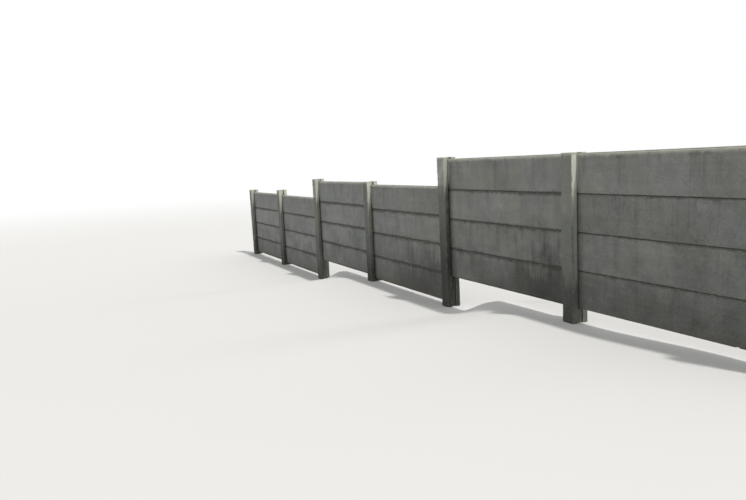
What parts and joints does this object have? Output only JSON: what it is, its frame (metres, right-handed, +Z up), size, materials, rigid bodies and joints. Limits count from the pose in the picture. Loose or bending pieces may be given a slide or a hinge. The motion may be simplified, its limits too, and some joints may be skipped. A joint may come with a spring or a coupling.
{
  "type": "precast concrete panel fence",
  "caption": "Stepped fence of slotted concrete posts with flat tongue-and-groove concrete panels stacked in their slots.",
  "frame": {"origin": "middle of the foot of post_1, the lowest end post", "axes": "+X along the run, the way it steps up; -Y towards the road side; +Z up"},
  "size_m": [14.99, 0.2, 2.355],
  "materials": {
    "post_concrete": "matte, weathered",
    "panel_concrete": "matte, weathered"
  },
  "bodies": {
    "root": {"post_1": "post_concrete", "post_2": "post_concrete", "post_3": "post_concrete", "post_4": "post_concrete", "post_5": "post_concrete", "post_6": "post_concrete", "post_7": "post_concrete", "bay_1_panel_1": "panel_concrete", "bay_1_panel_2": "panel_concrete", "bay_1_panel_3": "panel_concrete", "bay_1_panel_4": "panel_concrete", "bay_2_panel_1": "panel_concrete", "bay_2_panel_2": "panel_concrete", "bay_2_panel_3": "panel_concrete", "bay_2_panel_4": "panel_concrete", "bay_3_panel_1": "panel_concrete", "bay_3_panel_2": "panel_concrete", "bay_3_panel_3": "panel_concrete", "bay_3_panel_4": "panel_concrete", "bay_4_panel_1": "panel_concrete", "bay_4_panel_2": "panel_concrete", "bay_4_panel_3": "panel_concrete", "bay_4_panel_4": "panel_concrete", "bay_5_panel_1": "panel_concrete", "bay_5_panel_2": "panel_concrete", "bay_5_panel_3": "panel_concrete", "bay_5_panel_4": "panel_concrete", "bay_6_panel_1": "panel_concrete", "bay_6_panel_2": "panel_concrete", "bay_6_panel_3": "panel_concrete", "bay_6_panel_4": "panel_concrete"}
  },
  "joints": []
}
